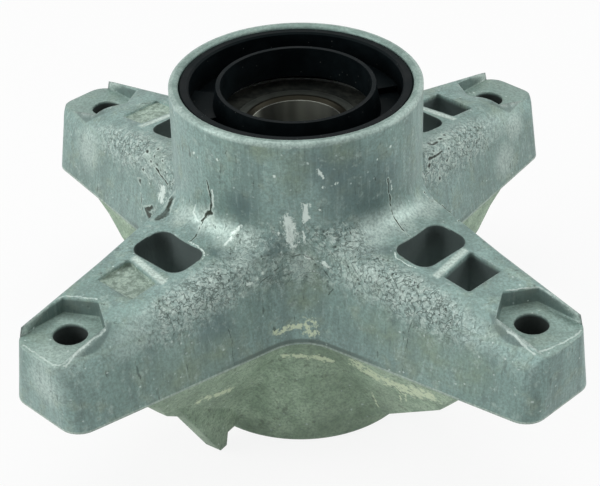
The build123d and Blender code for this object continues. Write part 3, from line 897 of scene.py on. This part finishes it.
def moulded_rubber(name, tone, dust):
    """Black moulded rubber with a satin skin and a little dust."""
    rubber = Finish(name, roughness=0.42, gloss=0.05)
    rubber.shader.inputs["Specular Tint"].default_value = SEAL_GLOSS_TINT
    film = rubber.noise(6 * MM, 4, 0.6)
    specks = rubber.fade(rubber.cells(2.2 * MM), 0.04, 0.10)
    lines = rubber.noise(0.7 * MM, 3, 0.6, place=rubber.stretched(0.2, 0.2, 1.0))
    worn_tone = tuple(1.9 * part for part in tone)
    colour = rubber.mix(rubber.ease(film, 0.35, 0.7, 0.0, 0.6), tone, worn_tone)
    colour = rubber.mix(rubber.both(specks, dust), colour, SEAL_DUST)
    normal = rubber.relief(rubber.reckon("MULTIPLY_ADD", lines, 0.3, film), 0.06 * MM)
    return rubber.finish(colour, rubber.ease(film, 0.3, 0.7, 0.36, 0.55), normal)


def dusty_shield():
    """Bearing shield: dark rubber under dust and old grease."""
    shield = Finish("dusty_shield", roughness=0.7, gloss=0.1)
    film = shield.noise(3 * MM, 5, 0.65)
    colour = shield.mix(shield.ease(film, 0.35, 0.7), SHIELD_BLACK, SHIELD_DUST)
    return shield.finish(colour, normal=shield.relief(film, 0.08 * MM))


def bore_layers(steel, radius, bore_radius):
    """Grease on the chamfers, and painted reflections: light and dark bands on the shiny bore."""
    chamfer = steel.between(radius, bore_radius + 0.15 * MM, bore_radius + 1.6 * MM, 0.1 * MM)
    yield chamfer, CHAMFER_GREASE
    # Painted reflection: vertical light and dark bands, with the bore's metallic turned down
    bands = steel.noise(7.5 * MM, 1, 0.5, place=steel.stretched(1.0, 1.0, 0.02))
    bore = steel.fade(radius, bore_radius + 0.05 * MM, bore_radius + 0.15 * MM)
    steel.put(steel.shader.inputs["Metallic"], steel.reckon("SUBTRACT", 1.0, steel.both(bore, 0.75)))
    yield bore, steel.mix(steel.ease(bands, 0.40, 0.62), BORE_DARK_REFLECTION, BORE_BRIGHT_REFLECTION)


def ground_steel(name, tone, roughness, bore_radius=0.0, shield_radius=0.0):
    """Ground bearing steel with fine turned lines and a little tarnish."""
    steel = Finish(name, metallic=1.0, roughness=roughness)
    x, y, height = steel.parts()
    radius = steel.length(x, y)
    turned = steel.noise(0.25 * MM, 2, 0.5, place=steel.joined(radius, 0.0, height))
    tarnish = steel.ease(steel.noise(4 * MM, 4, 0.6), 0.35, 0.7, 0.0, 0.7)
    colour = steel.mix(tarnish, tone, tuple(0.62 * part for part in tone))
    if bore_radius:
        colour = steel.painted(colour, bore_layers(steel, radius, bore_radius))
    if shield_radius:
        # The land is painted dark, for grease and painted shade, but for two bright arcs of bare steel beside
        # the shield, which are painted highlights
        beside_shield = steel.fade(radius, shield_radius + 0.30 * MM, shield_radius + 0.40 * MM)
        middle = steel.between(radius, shield_radius + 0.9 * MM, shield_radius + 1.1 * MM, 0.1 * MM)
        colour = steel.mix(steel.either(beside_shield, steel.both(middle, 0.6)), GREASE_AND_SHADE, colour)
    shine = steel.ease(turned, 0.3, 0.7, roughness, roughness + 0.12)
    return steel.finish(colour, shine, steel.relief(turned, 0.01 * MM))


def moulded_cage():
    """Tan glass-filled plastic of the ball cages."""
    cage = Finish("moulded_cage", roughness=0.55)
    fibre = cage.noise(0.6 * MM, 4, 0.6)
    return cage.finish(cage.mix(fibre, CAGE_DARK, CAGE_LIGHT), normal=cage.relief(fibre, 0.02 * MM))


def dress(piece, material):
    """Give a piece its finish."""
    piece.data.materials.clear()
    piece.data.materials.append(material)


def seen_white(tree, plain, white):
    """Light Path switch: plain light for bounces, white for what the eye and gloss see."""
    path = tree.nodes.new("ShaderNodeLightPath")
    seen = path.outputs["Is Camera Ray"]
    for ray in ("Is Glossy Ray", "Is Transmission Ray"):
        larger = tree.nodes.new("ShaderNodeMath")
        larger.operation = "MAXIMUM"
        tree.links.new(seen, larger.inputs[0])
        tree.links.new(path.outputs[ray], larger.inputs[1])
        seen = larger.outputs[0]
    mix = tree.nodes.new("ShaderNodeMixShader")
    tree.links.new(seen, mix.inputs["Fac"])
    tree.links.new(plain, mix.inputs[1])
    tree.links.new(white, mix.inputs[2])
    return mix.outputs[0]


def light_world(fill):
    """White surroundings for the eye and gloss, and a plain fill light."""
    world = bpy.data.worlds.new("studio")
    bpy.context.scene.world = world
    world.use_nodes = True
    tree = world.node_tree
    plain = tree.nodes["Background"]
    white = tree.nodes.new("ShaderNodeBackground")
    for background, strength in ((plain, fill), (white, 1.0)):
        background.inputs["Color"].default_value = (1.0, 1.0, 1.0, 1.0)
        background.inputs["Strength"].default_value = strength
    shown = seen_white(tree, plain.outputs[0], white.outputs[0])
    tree.links.new(shown, tree.nodes["World Output"].inputs["Surface"])


def lay_floor():
    """Pale floor that keeps the object's soft shadow."""
    bpy.ops.mesh.primitive_plane_add(size=FLOOR_SIDE)
    floor = bpy.context.active_object
    floor.name = "bench_top"
    material = bpy.data.materials.new("bench_white")
    material.use_nodes = True
    tree = material.node_tree
    tree.nodes.remove(tree.nodes["Principled BSDF"])
    paper = tree.nodes.new("ShaderNodeBsdfDiffuse")
    paper.inputs["Color"].default_value = FLOOR_PAPER
    glow = tree.nodes.new("ShaderNodeEmission")
    glow.inputs["Strength"].default_value = 1.0
    lit = tree.nodes.new("ShaderNodeMixShader")
    lit.inputs["Fac"].default_value = FLOOR_GLOW
    tree.links.new(paper.outputs[0], lit.inputs[1])
    tree.links.new(glow.outputs[0], lit.inputs[2])
    shown = seen_white(tree, paper.outputs[0], lit.outputs[0])
    tree.links.new(shown, tree.nodes["Material Output"].inputs["Surface"])
    floor.data.materials.append(material)


def add_lamp(name, place, side, power):
    """Soft square lamp aimed at the middle of the object."""
    bpy.ops.object.light_add(type="AREA", location=place)
    lamp = bpy.context.active_object
    lamp.name = name
    lamp.data.shape = "SQUARE"
    lamp.data.size = side
    lamp.data.energy = power
    lamp.rotation_euler = (LAMP_AIM - Vector(place)).to_track_quat("-Z", "Y").to_euler()


def dress_bearing(nodes, where):
    """Finishes of one ball bearing's rings, shields, cage and balls."""
    for side in ("top", "bottom"):
        dress(nodes[f"{where}_shield_{side}"], dusty_shield())
    outer_steel = ground_steel(f"{where}_outer_ring_steel", OUTER_RING_STEEL, 0.25, shield_radius=SHIELD_RADIUS)
    dress(nodes[f"{where}_outer_ring"], outer_steel)
    inner_steel = ground_steel(f"{where}_inner_ring_steel", INNER_RING_STEEL, 0.38, BEARING_BORE)
    dress(nodes[f"{where}_inner_ring"], inner_steel)
    dress(nodes[f"{where}_cage"], moulded_cage())
    ball_steel = ground_steel(f"{where}_ball_steel", BALL_STEEL, 0.12)
    for name, node in nodes.items():
        if name.startswith(f"{where}_ball_"):
            dress(node, ball_steel)


bpy.context.scene.view_settings.view_transform = "Standard"
add_camera()
light_world(FILL_LIGHT)
lay_floor()
for lamp in LAMPS:
    add_lamp(*lamp)

casting = dressed_copy("housing", "casting")
casting_tree = BVHTree.FromObject(casting, bpy.context.evaluated_depsgraph_get())
dress(casting, cast_aluminium(casting_tree))
dress(frame["nodes"]["upper_seal"], moulded_rubber("seal_rubber", SEAL_BLACK, 0.3))
dress(frame["nodes"]["spacer"], ground_steel("spacer_steel", SPACER_STEEL, 0.32))
for bearing in ("upper", "lower"):
    dress_bearing(frame["nodes"], bearing)
